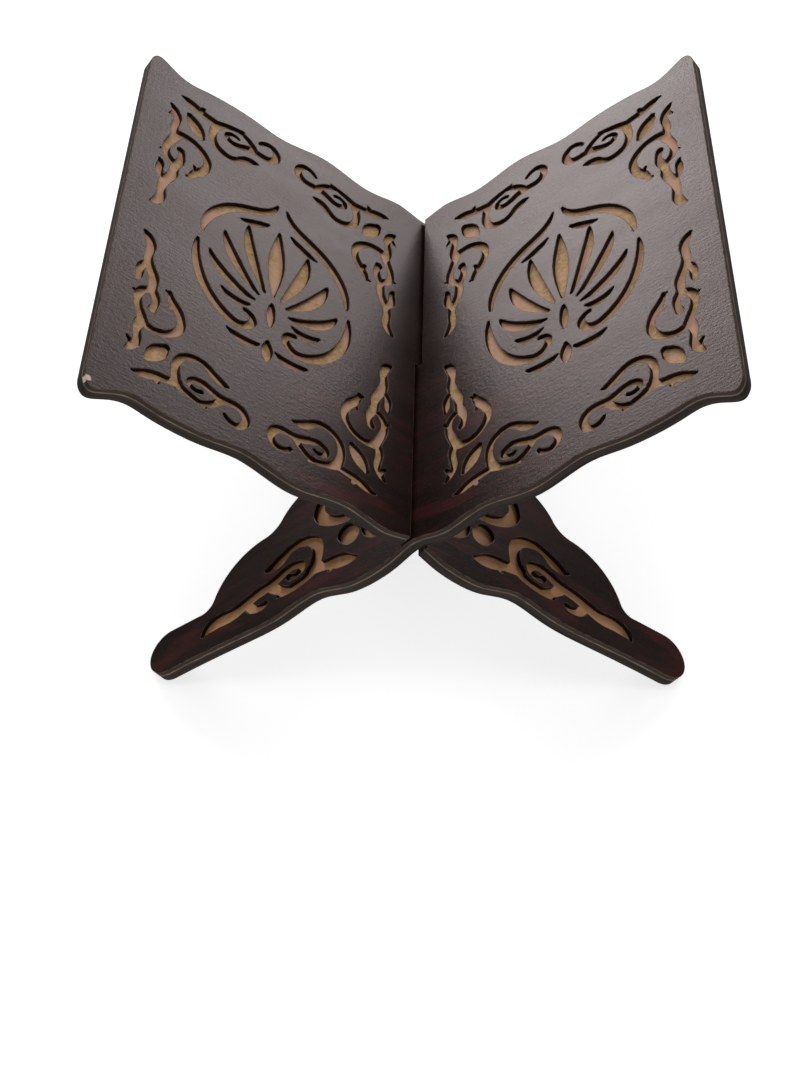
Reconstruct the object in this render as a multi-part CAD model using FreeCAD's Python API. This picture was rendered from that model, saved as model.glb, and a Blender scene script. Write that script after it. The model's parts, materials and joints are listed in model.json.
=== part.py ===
import FreeCAD, Part
import math
import os

from FreeCAD import Vector

# X-shaped book stand: two laminated boards pushed into each other's half-depth slots.
# Millimetres. +X right, +Y rear, +Z up. The origin is on the floor under the crossing axis,
# half way between the front and the rear toes.
#
# A board is drawn flat in its own coordinates (along, depth, up from the middle of the thickness):
# "along" is 0 at the crossing axis, positive up the book panel and negative down the legs.

# ---- driving dimensions -------------------------------------------------------------------
BOARD_THICKNESS = 6.5
FACE_THICKNESS = 2.2            # dark sheet that carries the fretwork
BACK_THICKNESS = 0.5            # veneer on the underside
SLOT_WIDTH = 8.75
SLOT_END_GAP = 0.15             # each slot runs this far past mid-depth
OPEN_STOP_SLACK = 0.15          # degrees each board stands above the angle at which the slots bind

PANEL_LENGTH = 157.6            # crossing axis to the straight outer edge
LEG_LENGTH = 150.5              # crossing axis to the toe tips
TIP_HALF_DEPTH = 112.2          # half the depth over the pointed corners
TOE_RADIUS = 11.8
TOE_FLAT_HEIGHT = 1.5           # height of the corner that is eased off under each toe

MIN_HALF_KERF = 0.35            # narrowest half width a stroke of the fretwork may be given
KERF_ALLOWANCE = 0.25           # added to the half width of every stroke
SAMPLES_PER_SPAN = 4            # outline points per span of a stroke's spine

# ---- worked out from the driving dimensions -------------------------------------------------
STOP_ANGLE = math.degrees(math.atan2(BOARD_THICKNESS, SLOT_WIDTH))
REST_ANGLE = STOP_ANGLE + OPEN_STOP_SLACK
LEAN = math.radians(REST_ANGLE)
AXIS_HEIGHT = LEG_LENGTH * math.sin(LEAN) + BOARD_THICKNESS / 2 * math.cos(LEAN) - TOE_FLAT_HEIGHT

TOP = BOARD_THICKNESS / 2
CORE_TOP = TOP - FACE_THICKNESS
CORE_BOTTOM = -TOP + BACK_THICKNESS
REACH = 400.0                   # larger than the whole object, for cutting tools

# ---- board outline ---------------------------------------------------------------------------
# Scalloped front edge as (along, half depth), from the book panel's corner to the toe.
# The rear edge is its mirror image.
CORNER_START = (PANEL_LENGTH, 99.0)
SCALLOPS = [
    CORNER_START,
    (PANEL_LENGTH, 104.0),
    (156.8, 109.2),
    (154.2, TIP_HALF_DEPTH),
    (150.0, 111.3),
    (144.5, 108.2),
    (137.0, 105.8),
    (128.0, 106.8),
    (115.0, 107.9),
    (102.0, 107.3),
    (85.5, 105.2),
    (74.0, 107.2),
    (61.0, 109.4),
    (48.0, 107.4),
    (38.0, 105.7),
    (28.0, 106.9),
    (16.0, 109.2),
    (0.0, 106.6),
    (-10.0, 110.2),
    (-24.0, 113.2),
    (-36.0, 112.5),
    (-52.5, 107.9),
    (-70.0, 110.8),
    (-95.0, 112.1),
    (TOE_RADIUS - LEG_LENGTH, TIP_HALF_DEPTH),
]

# Arch between the feet, front half, as (along, half depth).
TOE_INNER = TIP_HALF_DEPTH - 2 * TOE_RADIUS
INSTEP = [(-121.5, 88.4), (-116.0, 87.0), (-113.4, 83.6)]
LOWER_LOBE = [INSTEP[-1], (-104.6, 69.2), (-86.5, 60.2)]
STEP = [LOWER_LOBE[-1], (-80.0, 58.6), (-75.4, 54.6)]
UPPER_LOBE = [STEP[-1], (-68.6, 46.4), (-57.0, 40.5)]
ARCH_CROWN = (-47.0, 0.0)

# ---- fretwork --------------------------------------------------------------------------------
# A stroke is an opening that follows a spine of (across, depth, half width).
# Panel strokes are measured from the middle of the book panel. The corner strokes are drawn for
# one quarter of the panel and mirrored to the others.
PANEL_CENTRE = 81.0

SCROLL_HEAD = [
    # leaf-shaped tail, with its barb
    [(58.0, 93.0, 0.5), (54.7, 92.4, 1.7), (51.8, 91.2, 2.3), (46.9, 89.4, 2.1), (42.1, 88.7, 1.8),
     (38.2, 87.5, 2.3)],
    [(46.6, 92.9, 0.7), (47.8, 91.2, 1.2), (49.4, 89.8, 1.0)],
    # hook
    [(38.8, 87.0, 2.2), (40.1, 81.4, 1.8), (39.9, 76.4, 1.7), (37.8, 72.3, 1.6), (33.8, 69.8, 1.6),
     (29.2, 69.3, 1.5), (25.7, 70.8, 1.6), (22.4, 73.5, 2.1), (19.0, 75.2, 1.8), (15.9, 75.7, 0.6)],
]
PANEL_SCROLL_RUN = [
    # lower strand, its spur, and the link up to the upper strand
    [(38.0, 88.0, 2.3), (33.1, 90.5, 1.5), (29.2, 91.6, 1.3), (24.8, 93.1, 0.5)],
    [(27.4, 91.7, 1.1), (23.0, 90.1, 1.3), (19.5, 87.2, 1.4), (17.6, 84.9, 1.3)],
    # upper strand, ending in a curl
    [(32.9, 82.5, 1.2), (29.2, 80.6, 1.4), (24.4, 81.7, 1.7), (18.9, 83.8, 1.8), (13.3, 83.6, 1.7),
     (8.6, 84.5, 1.8), (6.2, 87.9, 1.8), (6.7, 92.0, 1.6), (9.9, 94.5, 1.4), (13.4, 93.8, 1.2),
     (15.7, 91.7, 0.8)],
    # spiral at its other end
    [(32.9, 82.5, 1.2), (33.0, 84.8, 1.0), (30.3, 86.5, 1.0), (27.2, 85.9, 0.8)],
]
SIDE_TAIL = [
    # tail and barb
    [(57.9, 64.3, 2.4), (59.3, 68.2, 1.8), (58.8, 72.0, 1.6), (58.3, 75.9, 1.6), (59.9, 79.8, 1.7),
     (62.7, 83.2, 0.5)],
    [(60.1, 79.2, 1.2), (62.7, 75.8, 0.5)],
]
SIDE_SCROLL = [
    # hook, with barbs at its end
    [(56.8, 64.3, 2.2), (52.7, 65.5, 1.7), (47.7, 64.6, 1.6), (43.1, 61.2, 1.7), (40.5, 56.0, 1.8),
     (41.0, 51.2, 1.8), (43.4, 46.8, 2.1), (46.0, 43.4, 1.8), (47.7, 39.1, 0.8)],
    [(44.7, 44.8, 1.3), (46.6, 48.6, 0.6)],
    [(47.5, 39.8, 0.9), (49.4, 39.4, 0.5)],
    # run from the middle of the side into the hook
    [(63.4, 10.4, 0.8), (61.1, 12.9, 2.0), (59.5, 17.7, 2.0), (60.1, 22.6, 1.9), (59.5, 27.4, 2.1),
     (57.3, 32.3, 2.2), (55.8, 37.1, 2.2), (55.7, 42.0, 1.9), (53.8, 45.9, 1.9), (53.2, 49.7, 1.5),
     (54.3, 54.1, 1.8)],
    # branch on its outer side
    [(59.3, 29.4, 1.6), (61.8, 31.2, 1.5), (62.7, 34.6, 1.7), (62.5, 38.1, 1.5), (63.4, 41.0, 0.5)],
    # link round to the foot of the hook, with a barb
    [(56.1, 43.8, 1.4), (61.1, 48.6, 1.7), (61.1, 53.6, 1.7), (59.3, 58.5, 1.9), (57.3, 63.3, 2.4)],
    [(61.1, 48.8, 1.2), (63.7, 48.2, 0.5)],
]
CORNER_LEAF = [
    [(45.3, 71.5, 1.5), (47.0, 73.9, 3.1), (49.1, 76.9, 3.7), (51.1, 79.8, 3.1), (52.8, 82.4, 1.5)],
]
LEG_SCROLL_RUN = [
    # lower strand, and the link up to the upper strand
    [(-53.6, 94.3, 2.3), (-57.0, 97.2, 1.6), (-64.1, 99.2, 1.5), (-72.8, 100.5, 0.6)],
    [(-67.7, 99.5, 1.2), (-73.6, 96.5, 1.4), (-78.4, 92.2, 1.5)],
    # upper strand
    [(-61.1, 87.9, 1.2), (-69.5, 87.3, 1.6), (-77.6, 91.0, 1.9), (-85.3, 92.6, 2.0), (-92.9, 95.2, 2.2),
     (-100.7, 97.6, 2.4), (-108.3, 97.4, 2.5), (-113.2, 98.2, 2.3), (-117.5, 101.6, 0.8)],
    # spiral at its end
    [(-61.1, 87.9, 1.2), (-60.5, 90.9, 1.1), (-63.7, 93.2, 1.1), (-67.7, 91.9, 0.9)],
    # curl under the upper strand
    [(-88.9, 94.3, 1.3), (-90.1, 98.5, 1.3), (-86.3, 101.4, 1.3), (-80.7, 101.1, 1.0)],
]
# The legs repeat the panel's scrolls, moved to (along, depth) and stretched. The legs' strokes are
# cut wider than the figures say, all but the dot and the tail beside it.
LEG_HEAD_ORIGIN = (-101.3, 0.4)
LEG_HEAD_STRETCH = (1.24, 1.07)
LEG_SIDE_ORIGIN = (-113.3, -1.5)
LEG_SIDE_STRETCH = (1.51, 1.14)
LEG_WIDENING = 1.6
LEG_DOT = [
    [(-35.6, 82.6, 4.6), (-33.0, 85.8, 4.6)],
]

# Palmette medallion, right half, measured from its own centre. Depth grows to the rear.
MEDALLION_CENTRE = (PANEL_CENTRE, 2.0)
MEDALLION_MIDDLE = [
    [(0.0, -9.0, 0.6), (0.0, 2.0, 3.0), (0.0, 14.0, 4.0), (0.0, 25.0, 2.6), (0.0, 34.0, 0.5)],
    [(0.0, -15.0, 0.7), (0.0, -21.0, 2.0), (0.0, -29.0, 0.6)],
    [(0.0, -39.0, 0.6), (0.0, -44.5, 2.7), (0.0, -51.0, 0.5)],
]
MEDALLION_SIDE = [
    # fanned leaves
    [(4.6, -9.4, 0.6), (9.8, 2.0, 2.2), (14.0, 14.0, 2.7), (15.8, 27.4, 0.5)],
    [(7.4, -13.0, 0.6), (15.4, -5.4, 2.2), (22.4, 4.0, 2.7), (27.0, 15.4, 0.5)],
    [(9.2, -17.6, 0.6), (17.6, -15.4, 2.1), (26.4, -10.2, 2.4), (33.0, -1.6, 0.5)],
    # upper frame, from the pointed top down to the side
    [(2.6, 52.0, 0.5), (9.6, 42.8, 2.0), (21.0, 36.8, 2.3), (31.8, 26.8, 2.4), (38.0, 8.6, 0.7)],
    # bud inside the pointed top
    [(6.2, 36.0, 0.6), (10.6, 33.0, 1.7), (20.0, 29.6, 0.5)],
    # lower frame, ending in a curl
    [(39.4, 1.6, 0.5), (38.6, -12.0, 2.1), (32.6, -25.8, 2.4), (22.2, -35.4, 2.3), (12.4, -37.0, 1.9),
     (8.2, -31.6, 1.6), (12.6, -27.2, 1.1)],
    # foot leaf
    [(4.4, -43.6, 0.6), (10.6, -45.6, 2.0), (20.0, -43.4, 0.5)],
    # small leaf over the curl
    [(11.0, -22.2, 0.5), (17.0, -24.0, 1.8), (25.0, -20.6, 0.5)],
]


def curve(points):
    """Smooth edge through points."""
    spline = Part.BSplineCurve()
    spline.interpolate(points)
    return spline.toShape()


def arc(start, middle, end):
    return Part.Arc(start, middle, end).toShape()


def flat_point(along, depth):
    return Vector(along, depth, 0)


# ---- outline ---------------------------------------------------------------------------------
def side_edges(side):
    """Front (side -1) or rear (side 1) edges of a board, from the panel's corner to the arch."""
    scallops = [flat_point(along, side * depth) for along, depth in SCALLOPS]
    toe_tip = flat_point(-LEG_LENGTH, side * (TIP_HALF_DEPTH - TOE_RADIUS))
    toe_inner = flat_point(TOE_RADIUS - LEG_LENGTH, side * TOE_INNER)
    bends = [
        [flat_point(along, side * depth) for along, depth in bend]
        for bend in (INSTEP, LOWER_LOBE, STEP, UPPER_LOBE)
    ]
    return [
        curve(scallops),
        arc(scallops[-1], toe_tip, toe_inner),
        Part.makeLine(toe_inner, bends[0][0]),
    ] + [arc(*bend) for bend in bends]


def board_outline():
    """Closed flat face of the whole board, before its slot is cut."""
    along, depth = UPPER_LOBE[-1]
    crown = arc(flat_point(along, -depth), flat_point(*ARCH_CROWN), flat_point(along, depth))
    outer_edge = Part.makeLine(
        flat_point(CORNER_START[0], -CORNER_START[1]), flat_point(*CORNER_START)
    )
    edges = side_edges(-1) + [crown] + side_edges(1) + [outer_edge]
    return Part.Face(Part.Wire(Part.__sortEdges__(edges)))


def layer(bottom, top):
    """The board's outline as a sheet between two heights."""
    sheet = board_outline().extrude(Vector(0, 0, top - bottom))
    sheet.translate(Vector(0, 0, bottom))
    return sheet


def slot(open_side):
    """Cutter for the half-depth slot: open at the front (open_side -1) or at the rear (1)."""
    length = REACH + SLOT_END_GAP
    start = -SLOT_END_GAP if open_side > 0 else -REACH
    return Part.makeBox(
        SLOT_WIDTH, length, 2 * BOARD_THICKNESS, Vector(-SLOT_WIDTH / 2, start, -BOARD_THICKNESS)
    )


# ---- fretwork --------------------------------------------------------------------------------
def stroke_opening(spine):
    """Cutter for one stroke: a ribbon along the spine with round ends."""
    path = Part.BSplineCurve()
    path.interpolate([Vector(*knot) for knot in spine])
    count = SAMPLES_PER_SPAN * (len(spine) - 1)
    left, right, tips = [], [], []
    for index in range(count + 1):
        share = index / count
        place = path.FirstParameter * (1 - share) + path.LastParameter * share
        here = path.value(place)
        forward = path.tangent(place)[0]
        forward = Vector(forward.x, forward.y, 0).normalize()
        half = max(here.z, MIN_HALF_KERF) + KERF_ALLOWANCE
        middle = flat_point(here.x, here.y)
        sideways = Vector(-forward.y, forward.x, 0) * half
        left.append(middle + sideways)
        right.append(middle - sideways)
        if index in (0, count):
            tips.append(middle + forward * (half if index else -half))
    outline = Part.Wire([
        curve(left),
        arc(left[-1], tips[1], right[-1]),
        curve(right[::-1]),
        arc(right[0], tips[0], left[0]),
    ])
    prism = Part.Face(outline).extrude(Vector(0, 0, 2 * FACE_THICKNESS))
    prism.translate(Vector(0, 0, CORE_TOP))
    return prism


def placed(strokes, origin, stretch=(1, 1), widening=1):
    """Strokes moved to origin and stretched by (along, depth); a negative stretch mirrors them."""
    return [
        [(origin[0] + stretch[0] * a, origin[1] + stretch[1] * d, widening * w) for a, d, w in spine]
        for spine in strokes
    ]


def panel_strokes():
    quarter = SCROLL_HEAD + PANEL_SCROLL_RUN + SIDE_TAIL + SIDE_SCROLL + CORNER_LEAF
    strokes = []
    for along_side in (-1, 1):
        for depth_side in (-1, 1):
            strokes += placed(quarter, (PANEL_CENTRE, 0), (along_side, depth_side))
        strokes += placed(MEDALLION_SIDE, MEDALLION_CENTRE, (along_side, 1))
    return strokes + placed(MEDALLION_MIDDLE, MEDALLION_CENTRE)


def leg_strokes():
    """One foot's scrolls, most of them the panel's own scrolls, mirrored to the other foot."""
    foot = placed(SCROLL_HEAD, LEG_HEAD_ORIGIN, LEG_HEAD_STRETCH, LEG_WIDENING)
    foot += placed(SIDE_SCROLL, LEG_SIDE_ORIGIN, LEG_SIDE_STRETCH, LEG_WIDENING)
    foot += placed(SIDE_TAIL, LEG_SIDE_ORIGIN, LEG_SIDE_STRETCH)
    foot += placed(LEG_SCROLL_RUN, (0, 0), widening=LEG_WIDENING) + LEG_DOT
    return [spine for side in (-1, 1) for spine in placed(foot, (0, 0), (1, side))]


# ---- the three sheets of a board ---------------------------------------------------------------
def fretwork_face(open_side):
    openings = [stroke_opening(spine) for spine in panel_strokes() + leg_strokes()]
    return layer(CORE_TOP, TOP).cut([slot(open_side)] + openings)


def core_board(open_side):
    return layer(CORE_BOTTOM, CORE_TOP).cut(slot(open_side))


def back_sheet(open_side):
    return layer(-TOP, CORE_BOTTOM).cut(slot(open_side))


# ---- placing -----------------------------------------------------------------------------------
def stood_up(shape, side):
    """Leans a flat shape so that its panel rises to the right (side 1) or to the left (side -1)."""
    shape.rotate(Vector(0, 0, 0), Vector(0, 1, 0), -REST_ANGLE)
    shape.translate(Vector(0, 0, AXIS_HEIGHT))
    if side < 0:
        shape = shape.mirror(Vector(0, 0, 0), Vector(1, 0, 0))
    below_floor = Part.makeBox(REACH, REACH, REACH, Vector(-REACH / 2, -REACH / 2, -REACH))
    return shape.cut(below_floor)


def board(name, side, open_side):
    """One board's sheets by node name."""
    sheets = {
        f"{name}_fretwork_face": fretwork_face(open_side),
        f"{name}_core_board": core_board(open_side),
        f"{name}_back_sheet": back_sheet(open_side),
    }
    return {node: stood_up(shape, side) for node, shape in sheets.items()}


def main():
    os.makedirs("parts", exist_ok=True)
    nodes = {**board("left", -1, -1), **board("right", 1, 1)}
    for node, shape in nodes.items():
        if len(shape.Solids) != 1 or not shape.isValid():
            raise ValueError(f"{node} has {len(shape.Solids)} solids, valid: {shape.isValid()}")
        shape.Solids[0].exportStep(f"parts/{node}.step")
    print(f"rest angle {REST_ANGLE:.3f} deg, crossing axis {AXIS_HEIGHT:.3f} mm above the floor")


main()
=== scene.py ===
import json
import math

import bpy
from mathutils import Euler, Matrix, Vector


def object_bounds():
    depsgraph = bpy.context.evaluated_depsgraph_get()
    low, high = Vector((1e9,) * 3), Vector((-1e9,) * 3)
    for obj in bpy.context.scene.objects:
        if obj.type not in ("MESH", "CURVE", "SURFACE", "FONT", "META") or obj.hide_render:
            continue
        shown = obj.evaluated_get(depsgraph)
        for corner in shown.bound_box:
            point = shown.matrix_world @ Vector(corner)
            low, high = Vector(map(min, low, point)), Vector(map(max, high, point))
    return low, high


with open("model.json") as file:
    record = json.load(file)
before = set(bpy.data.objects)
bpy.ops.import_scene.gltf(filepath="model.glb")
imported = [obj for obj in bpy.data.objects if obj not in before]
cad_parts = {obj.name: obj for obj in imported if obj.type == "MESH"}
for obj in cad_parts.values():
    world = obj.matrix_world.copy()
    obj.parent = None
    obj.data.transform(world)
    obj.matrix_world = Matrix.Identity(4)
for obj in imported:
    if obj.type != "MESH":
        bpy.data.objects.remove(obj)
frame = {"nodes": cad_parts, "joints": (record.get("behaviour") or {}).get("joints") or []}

cad_low, cad_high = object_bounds()

# The stand is two laminated boards that cross. Their shapes come from the frame and stay as they are;
# this script gives them finishes, and sets the floor, the light and the camera. Metres throughout.
MM = 0.001
SIDES = {"left": -1, "right": 1}
AXIS = Vector(frame["joints"][0]["pos_m"])      # crossing axis, half way between front and rear


def board_up(node):
    """Unit normal of a node's largest upward face."""
    faces = [p for p in frame["nodes"][node].data.polygons if p.normal.z > 0]
    return max(faces, key=lambda p: p.area).normal.copy()


def height_over_axis(node, up):
    """Highest place of a node along a board's normal, measured from the crossing axis."""
    return max((v.co - AXIS).dot(up) for v in frame["nodes"][node].data.vertices)


RIGHT_UP = board_up("right_core_board")
LEAN = math.atan2(-RIGHT_UP.x, RIGHT_UP.z)      # slope of each book panel
FACE_TOP = height_over_axis("right_fretwork_face", RIGHT_UP)
CORE_TOP = height_over_axis("right_core_board", RIGHT_UP)
OUTER_EDGE = max((v.co - AXIS).dot(Vector((RIGHT_UP.z, 0, -RIGHT_UP.x)))
                 for v in frame["nodes"]["right_fretwork_face"].data.vertices)
HALF_DEPTH = cad_high.y


# ---- node graphs -------------------------------------------------------------------------------
class Graph:
    """A material under construction. Inputs may be plain values or other nodes' outputs."""

    def __init__(self, name):
        self.material = bpy.data.materials.new(name)
        self.material.use_nodes = True
        self.tree = self.material.node_tree
        self.tree.nodes.clear()

    def add(self, kind, inputs, output=0, **settings):
        """Output of a new node, after its properties are set and its inputs linked or filled in."""
        node = self.tree.nodes.new(kind)
        for key, value in settings.items():
            setattr(node, key, value)
        for key, value in inputs.items():
            if isinstance(value, bpy.types.NodeSocket):
                self.tree.links.new(value, node.inputs[key])
            else:
                node.inputs[key].default_value = value
        return node.outputs[output]

    def math(self, operation, a, b=0.0, c=0.0):
        return self.add("ShaderNodeMath", {0: a, 1: b, 2: c}, operation=operation)

    def vector(self, operation, a, b=(0, 0, 0), output=0):
        return self.add("ShaderNodeVectorMath", {0: a, 1: b}, output, operation=operation)

    def noise(self, place, scale, detail=3.0, roughness=0.5, distortion=0.0):
        return self.add("ShaderNodeTexNoise", {
            "Vector": place, "Scale": scale, "Detail": detail, "Roughness": roughness,
            "Distortion": distortion,
        })

    def step(self, value, low, high):
        """0 below low, 1 above high, smooth between; low may be the larger of the two."""
        return self.add("ShaderNodeMapRange", {"Value": value, "From Min": low, "From Max": high},
                        interpolation_type="SMOOTHSTEP")

    def mix(self, share, first, second):
        """Colour between first and second, which are inputs 6 and 7 of this node."""
        return self.add("ShaderNodeMix", {"Factor": share, 6: first, 7: second}, 2, data_type="RGBA")

    def blend(self, share, first, second):
        """Number between first and second, which are inputs 2 and 3 of this node."""
        return self.add("ShaderNodeMix", {"Factor": share, 2: first, 3: second}, 0, data_type="FLOAT")

    def openness(self, reach):
        """1 where nothing stands near a surface, falling to 0 in a closed corner."""
        return self.add("ShaderNodeAmbientOcclusion", {"Distance": reach}, "AO", samples=6)

    def bump(self, height, distance, strength, below=None):
        """Normal of a relief, laid over the normal below it if there is one."""
        inputs = {"Height": height, "Distance": distance, "Strength": strength}
        if below is not None:
            inputs["Normal"] = below
        return self.add("ShaderNodeBump", inputs)

    def finish(self, **inputs):
        """The finished material; input names are the shader's own, with underscores for spaces."""
        shader = self.add("ShaderNodeBsdfPrincipled", {
            key.replace("_", " "): value for key, value in inputs.items()
        })
        output = self.tree.nodes.new("ShaderNodeOutputMaterial")
        self.tree.links.new(shader, output.inputs["Surface"])
        return self.material


def rgb(red, green, blue):
    """Linear colour from 0..255 display values."""
    def linear(value):
        value /= 255
        return value / 12.92 if value <= 0.04045 else ((value + 0.055) / 1.055) ** 2.4
    return (linear(red), linear(green), linear(blue), 1.0)


class BoardSpace:
    """A board's own coordinates inside a material: along it, across its depth, and over its face.

    flat is 1 on surfaces that lie along the board and 0 on its edges and cut walls.
    """

    def __init__(self, graph, side):
        place = graph.add("ShaderNodeTexCoord", {}, "Object")
        centred = graph.vector("SUBTRACT", place, AXIS)
        turned = graph.add("ShaderNodeMapping", {"Vector": centred, "Rotation": (0, side * LEAN, 0)})
        self.place = turned
        split = graph.add("ShaderNodeSeparateXYZ", {"Vector": turned}).node
        self.along = graph.math("MULTIPLY", split.outputs["X"], side)
        self.depth = split.outputs["Y"]
        self.height = split.outputs["Z"]
        up = (-side * math.sin(LEAN), 0, math.cos(LEAN))
        normal = graph.add("ShaderNodeTexCoord", {}, "Normal")
        facing = graph.vector("DOT_PRODUCT", normal, up, "Value")
        self.flat = graph.step(graph.math("ABSOLUTE", facing), 0.35, 0.75)
        self.graph = graph

    def stretched(self, along, depth, height):
        """Board coordinates scaled per axis, for grain."""
        return self.graph.vector("MULTIPLY", self.place, (along, depth, height))


# ---- finishes ----------------------------------------------------------------------------------
ARRIS_RADIUS = 0.6 * MM         # shading only: the shapes keep their sharp arrises
SCORCH_DEPTH = 0.9 * MM         # the cut walls are black down to here and redden below
RECESS_REACH = 4 * MM           # walls with nothing facing them within this are outer edges
CORNER_REACH = 1.2 * MM         # width of the singed line and painted corner shade where a recess floor meets its wall
GLUE_LINE_FADE = (CORE_TOP - 0.6 * MM, CORE_TOP - 0.35 * MM)    # and full from there up

PALE_LINE_INSET = 4.0 * MM     # from the outer edge
PALE_LINE_HALF_WIDTH = 0.9 * MM
PALE_LINE_STRENGTH = 0.05

CHIP_SIDE = SIDES["left"]
CHIP_FROM_OUTER_EDGE = 1.6 * MM
CHIP_FROM_FRONT = 4.6 * MM
CHIP_RADIUS = 2.6 * MM
CHIP_RAGGEDNESS = 1.6 * MM
CHIP_SOFTNESS = 0.5 * MM

RED_ZONE_DEPTH = (0.2 * HALF_DEPTH, -0.8 * HALF_DEPTH)      # the reddish wood shows towards the front
RED_ZONE_ALONG = (120 * MM, 20 * MM)                        # and towards the crossing
LEG_ZONE_ALONG = (0.0, -60 * MM)                            # the recess floors are warmer on the legs

WENGE_DEEP = rgb(27, 15, 13)
WENGE_BROWN = rgb(50, 31, 27)
WENGE_RED = rgb(92, 36, 36)
WENGE_PALE = rgb(72, 50, 46)
SHEEN = rgb(255, 222, 220)
SCORCHED = rgb(16, 10, 9)
SCORCHED_RED = rgb(66, 30, 22)
# pale rim: real wear on edges and glue line, and a painted highlight along the arrises
PALE_RIM_WEAR_AND_HIGHLIGHT = rgb(168, 140, 120)
EDGE_STAIN = rgb(66, 57, 52)
EDGE_DEEP = rgb(36, 29, 27)
RAW_FIBRE = rgb(255, 212, 162)
RAW_FIBRE_PINK = rgb(252, 198, 170)
RAW_FIBRE_DARK = rgb(216, 170, 124)
RAW_FIBRE_TOASTED = rgb(250, 180, 118)
# singed tone, also laid on as painted shade in the corners of the recess floors
SINGED_AND_CORNER_SHADE = rgb(96, 62, 44)
CHIP = rgb(246, 226, 200)


def eased_arris(graph):
    """Normal that rounds a shape's arrises, and a mask that is 1 on them."""
    rounded = graph.add("ShaderNodeBevel", {"Radius": ARRIS_RADIUS}, samples=6)
    plain = graph.add("ShaderNodeNewGeometry", {}, "Normal")
    agreement = graph.vector("DOT_PRODUCT", rounded, plain, "Value")
    return rounded, graph.step(agreement, 0.99, 0.9)


def wood_figure(graph, space):
    """Colour and fine relief of the dark wood sheet."""
    broad = graph.noise(space.stretched(9, 46, 46), 1.0, detail=4, roughness=0.55, distortion=0.6)
    pores = graph.noise(space.stretched(60, 1150, 1150), 1.0, roughness=0.6, distortion=0.3)
    red_patch = graph.noise(space.stretched(14, 60, 60), 1.0, distortion=1.2)
    body = graph.mix(graph.step(broad, 0.32, 0.7), WENGE_DEEP, WENGE_BROWN)
    near_front = graph.step(space.depth, *RED_ZONE_DEPTH)
    near_crossing = graph.step(space.along, *RED_ZONE_ALONG)
    redness = graph.math("MULTIPLY", graph.math("MULTIPLY", near_front, near_crossing),
                         graph.step(red_patch, 0.48, 0.66))
    body = graph.mix(graph.math("MULTIPLY", redness, 0.75), body, WENGE_RED)
    pore_mask = graph.step(pores, 0.5, 0.36)
    body = graph.mix(graph.math("MULTIPLY", pore_mask, 0.45), body, WENGE_DEEP)
    return body, broad, pores


def pale_line_near_edge(graph, space):
    """Faint paler line just inside the outer edge."""
    offset = graph.math("SUBTRACT", space.along, OUTER_EDGE - PALE_LINE_INSET)
    line = graph.step(graph.math("ABSOLUTE", offset), PALE_LINE_HALF_WIDTH, 0.0)
    return graph.math("MULTIPLY", line, PALE_LINE_STRENGTH)


def chip_mask(graph, space):
    """Chipped spot on the front outer corner of a book panel."""
    offset = graph.add("ShaderNodeCombineXYZ", {
        "X": graph.math("SUBTRACT", space.along, OUTER_EDGE - CHIP_FROM_OUTER_EDGE),
        "Y": graph.math("ADD", space.depth, HALF_DEPTH - CHIP_FROM_FRONT),
    })
    ragged = graph.math("MULTIPLY", graph.noise(space.place, 700, detail=2), CHIP_RAGGEDNESS)
    distance = graph.math("ADD", graph.vector("LENGTH", offset, output="Value"), ragged)
    return graph.step(distance, CHIP_RADIUS, CHIP_RADIUS - CHIP_SOFTNESS)


def laminate(side, slot):
    """Dark satin sheet with the fretwork: wood figure, leathery press texture, scorched cut walls."""
    graph = Graph(slot)
    space = BoardSpace(graph, side)
    figure, broad, pores = wood_figure(graph, space)
    press = graph.noise(space.place, 620, detail=4, roughness=0.62)
    streaks = graph.noise(space.stretched(220, 900, 900), 1.0, detail=2)
    rounded, arris = eased_arris(graph)

    figure = graph.mix(graph.math("MULTIPLY", graph.step(press, 0.48, 0.66), 0.3), figure, WENGE_PALE)
    figure = graph.mix(pale_line_near_edge(graph, space), figure, PALE_RIM_WEAR_AND_HIGHLIGHT)
    wall_foot = graph.step(space.height, FACE_TOP - SCORCH_DEPTH, CORE_TOP)
    wall = graph.mix(wall_foot, SCORCHED, SCORCHED_RED)
    openness = graph.openness(RECESS_REACH)
    wall = graph.mix(graph.step(openness, 0.62, 0.85), wall, EDGE_STAIN)
    colour = graph.mix(space.flat, wall, figure)
    # pale worn arrises, partly a painted highlight along every arris
    wear_and_highlight = graph.math("MULTIPLY", arris, graph.step(graph.noise(space.place, 240), 0.3, 0.6))
    colour = graph.mix(graph.math("MULTIPLY", wear_and_highlight, 0.9), colour, PALE_RIM_WEAR_AND_HIGHLIGHT)
    if side == CHIP_SIDE:
        colour = graph.mix(chip_mask(graph, space), colour, CHIP)

    rough = graph.math("MULTIPLY_ADD", broad, 0.12, 0.2)
    rough = graph.math("MULTIPLY_ADD", press, 0.12, rough)
    rough = graph.blend(space.flat, 0.82, rough)
    relief = graph.bump(press, 0.09 * MM, 1.0, rounded)
    relief = graph.bump(streaks, 0.06 * MM, 0.8, relief)
    relief = graph.bump(pores, 0.04 * MM, 0.8, relief)
    return graph.finish(Base_Color=colour, Roughness=rough, Specular_IOR_Level=0.42,
                        Specular_Tint=SHEEN, Normal=relief)


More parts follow.
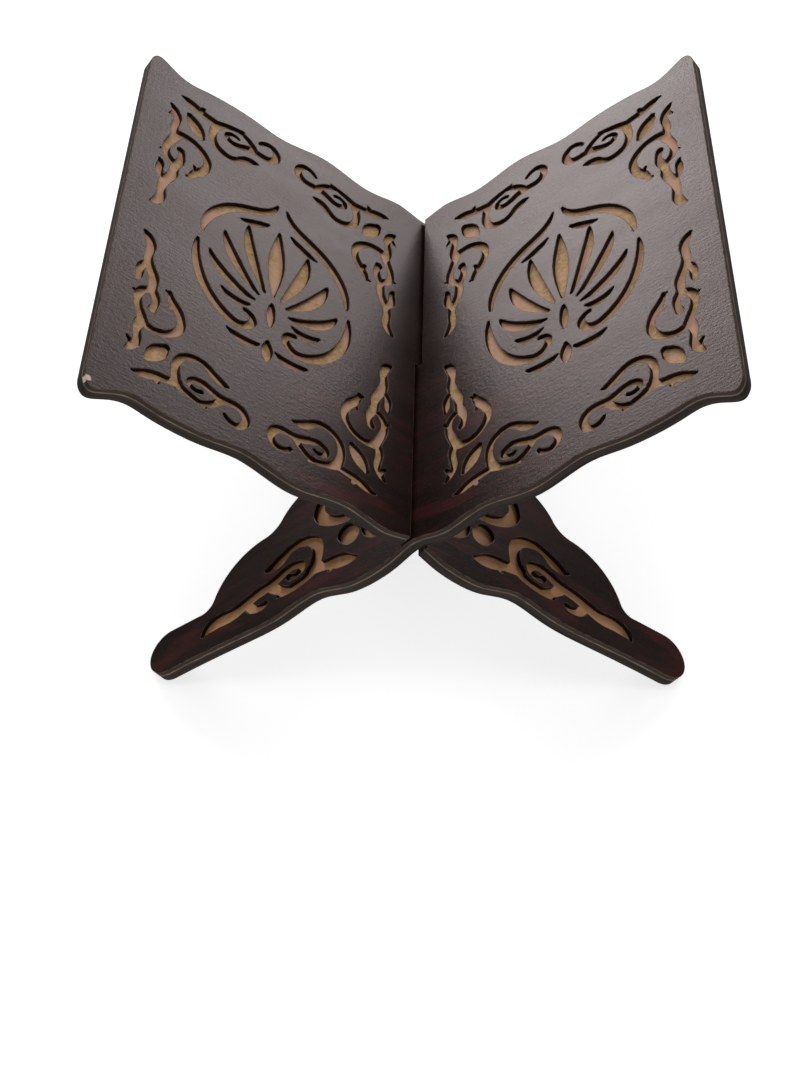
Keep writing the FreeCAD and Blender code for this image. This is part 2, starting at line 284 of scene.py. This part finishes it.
def fibreboard(side, slot):
    """Raw fibreboard: bare under the fretwork with singed, painted shade in its corners, stained dark
    on the sawn edges.
    """
    graph = Graph(slot)
    space = BoardSpace(graph, side)
    fibres = graph.noise(space.stretched(420, 520, 420), 1.0, detail=4, roughness=0.6, distortion=0.8)
    speck = graph.noise(space.place, 2100, detail=2)
    cloud = graph.noise(space.place, 60)
    bare = graph.mix(graph.step(fibres, 0.35, 0.68), RAW_FIBRE_DARK, RAW_FIBRE)
    bare = graph.mix(graph.step(cloud, 0.45, 0.62), bare, RAW_FIBRE_PINK)
    on_leg = graph.step(space.along, *LEG_ZONE_ALONG)
    bare = graph.mix(graph.math("MULTIPLY", on_leg, 0.6), bare, RAW_FIBRE_TOASTED)
    # painted shade, singed in tone, in the corner where a recess floor meets its wall
    bare = graph.mix(graph.step(graph.openness(CORNER_REACH), 0.45, 0.15), bare, SINGED_AND_CORNER_SHADE)

    lines = graph.noise(space.stretched(14, 14, 1700), 1.0, detail=2, roughness=0.6)
    stain = graph.mix(graph.step(lines, 0.4, 0.7), EDGE_STAIN, EDGE_DEEP)
    glue_line = graph.step(space.height, *GLUE_LINE_FADE)
    rubbed = graph.step(graph.noise(space.place, 90), 0.4, 0.6)
    paleness = graph.math("MULTIPLY", glue_line, graph.math("MULTIPLY_ADD", rubbed, 0.35, 0.35))
    stain = graph.mix(paleness, stain, PALE_RIM_WEAR_AND_HIGHLIGHT)

    colour = graph.mix(space.flat, stain, bare)
    rough = graph.blend(space.flat, 0.55, 0.86)
    relief = graph.bump(graph.blend(space.flat, lines, fibres), 0.06 * MM, 0.6)
    relief = graph.bump(speck, 0.03 * MM, 0.4, relief)
    return graph.finish(Base_Color=colour, Roughness=rough, Specular_IOR_Level=0.35, Normal=relief)


def veneer(side, slot):
    """Thin dark backing sheet, plainer and duller than the face."""
    graph = Graph(slot)
    space = BoardSpace(graph, side)
    figure, broad, pores = wood_figure(graph, space)
    figure = graph.mix(0.35, figure, WENGE_DEEP)
    rounded, arris = eased_arris(graph)
    # pale worn arrises, partly a painted highlight along every arris
    colour = graph.mix(graph.math("MULTIPLY", arris, 0.3), figure, PALE_RIM_WEAR_AND_HIGHLIGHT)
    rough = graph.math("MULTIPLY_ADD", broad, 0.15, 0.45)
    relief = graph.bump(pores, 0.03 * MM, 0.8, rounded)
    return graph.finish(Base_Color=colour, Roughness=rough, Specular_IOR_Level=0.45, Normal=relief)


FINISHES = {"fretwork_face": laminate, "core_board": fibreboard, "back_sheet": veneer}


def dress_boards():
    for board, side in SIDES.items():
        for part, finish in FINISHES.items():
            node = frame["nodes"][f"{board}_{part}"]
            node.material_slots[0].material = finish(side, f"{board}_{part}")


# ---- floor, light and camera -------------------------------------------------------------------
FLOOR_SIZE = 6.0
FLOOR_COLOUR = (0.9, 0.9, 0.9, 1.0)
FLOOR_GLOW = 0.85               # lit from below like a light table, so that shadows stay faint

WALL_COLOUR = (1.0, 0.99, 0.98, 1.0)
WALL_SEEN = 1.0                 # strength of the walls for the camera
WALL_LIGHTING = 0.1             # and as a light on the stand

# Each softbox: place, width, height, watts. The two rear ones make the sheen of the book panels.
SOFTBOXES = {
    "rear_right": ((0.72, 1.26, 0.52), 0.6, 0.4, 4),
    "rear_left": ((-0.70, 1.27, 0.52), 0.65, 0.4, 6.2),
    "overhead": ((0.0, 0.1, 1.6), 1.2, 1.2, 6.5),
}

# The camera stands in front of the stand and looks down into the open book panels.
CAMERA_PLACE = Vector((0.01347, -0.59509, 0.54296))    # from the crossing axis
CAMERA_YAW = 0.04005
CAMERA_PITCH = 0.83845                                 # below the horizon
CAMERA_ROLL = -0.02254
CAMERA_LENS_MM = 57.487
CAMERA_NEAREST = 0.05


def floor():
    half = FLOOR_SIZE / 2
    mesh = bpy.data.meshes.new("floor")
    mesh.from_pydata([(-half, -half, 0), (half, -half, 0), (half, half, 0), (-half, half, 0)],
                     [], [(0, 1, 2, 3)])
    plane = bpy.data.objects.new("floor", mesh)
    bpy.context.scene.collection.objects.link(plane)
    graph = Graph("floor")
    mesh.materials.append(graph.finish(Base_Color=FLOOR_COLOUR, Roughness=0.8,
                                       Emission_Color=FLOOR_COLOUR, Emission_Strength=FLOOR_GLOW))
    plane.visible_glossy = False


def softbox(name, place, width, height, watts):
    """Area light that points at the crossing axis."""
    data = bpy.data.lights.new(name, "AREA")
    data.shape = "RECTANGLE"
    data.size = width
    data.size_y = height
    data.energy = watts
    lamp = bpy.data.objects.new(name, data)
    lamp.location = place
    lamp.rotation_euler = (AXIS - Vector(place)).to_track_quat("-Z", "Y").to_euler()
    bpy.context.scene.collection.objects.link(lamp)


def studio_walls():
    """Pale walls that the camera sees at full strength and that light the stand only dimly."""
    world = bpy.data.worlds.new("studio")
    world.use_nodes = True
    tree = world.node_tree
    background = tree.nodes["Background"]
    background.inputs["Color"].default_value = WALL_COLOUR
    path = tree.nodes.new("ShaderNodeLightPath")
    strength = tree.nodes.new("ShaderNodeMapRange")
    strength.inputs["To Min"].default_value = WALL_LIGHTING
    strength.inputs["To Max"].default_value = WALL_SEEN
    tree.links.new(path.outputs["Is Camera Ray"], strength.inputs["Value"])
    tree.links.new(strength.outputs["Result"], background.inputs["Strength"])
    bpy.context.scene.world = world


def lights():
    for name, (place, width, height, watts) in SOFTBOXES.items():
        softbox(name, place, width, height, watts)


def camera():
    data = bpy.data.cameras.new("camera")
    data.lens = CAMERA_LENS_MM
    data.clip_start = CAMERA_NEAREST
    eye = bpy.data.objects.new("camera", data)
    eye.location = AXIS + CAMERA_PLACE
    turn = Euler((0, 0, CAMERA_YAW)).to_matrix()
    tilt = Euler((math.pi / 2 - CAMERA_PITCH, 0, 0)).to_matrix()
    roll = Euler((0, 0, CAMERA_ROLL)).to_matrix()
    eye.rotation_euler = (turn @ tilt @ roll).to_euler()
    bpy.context.scene.collection.objects.link(eye)
    bpy.context.scene.camera = eye


dress_boards()
floor()
studio_walls()
lights()
camera()
bpy.context.scene.view_settings.view_transform = "Standard"
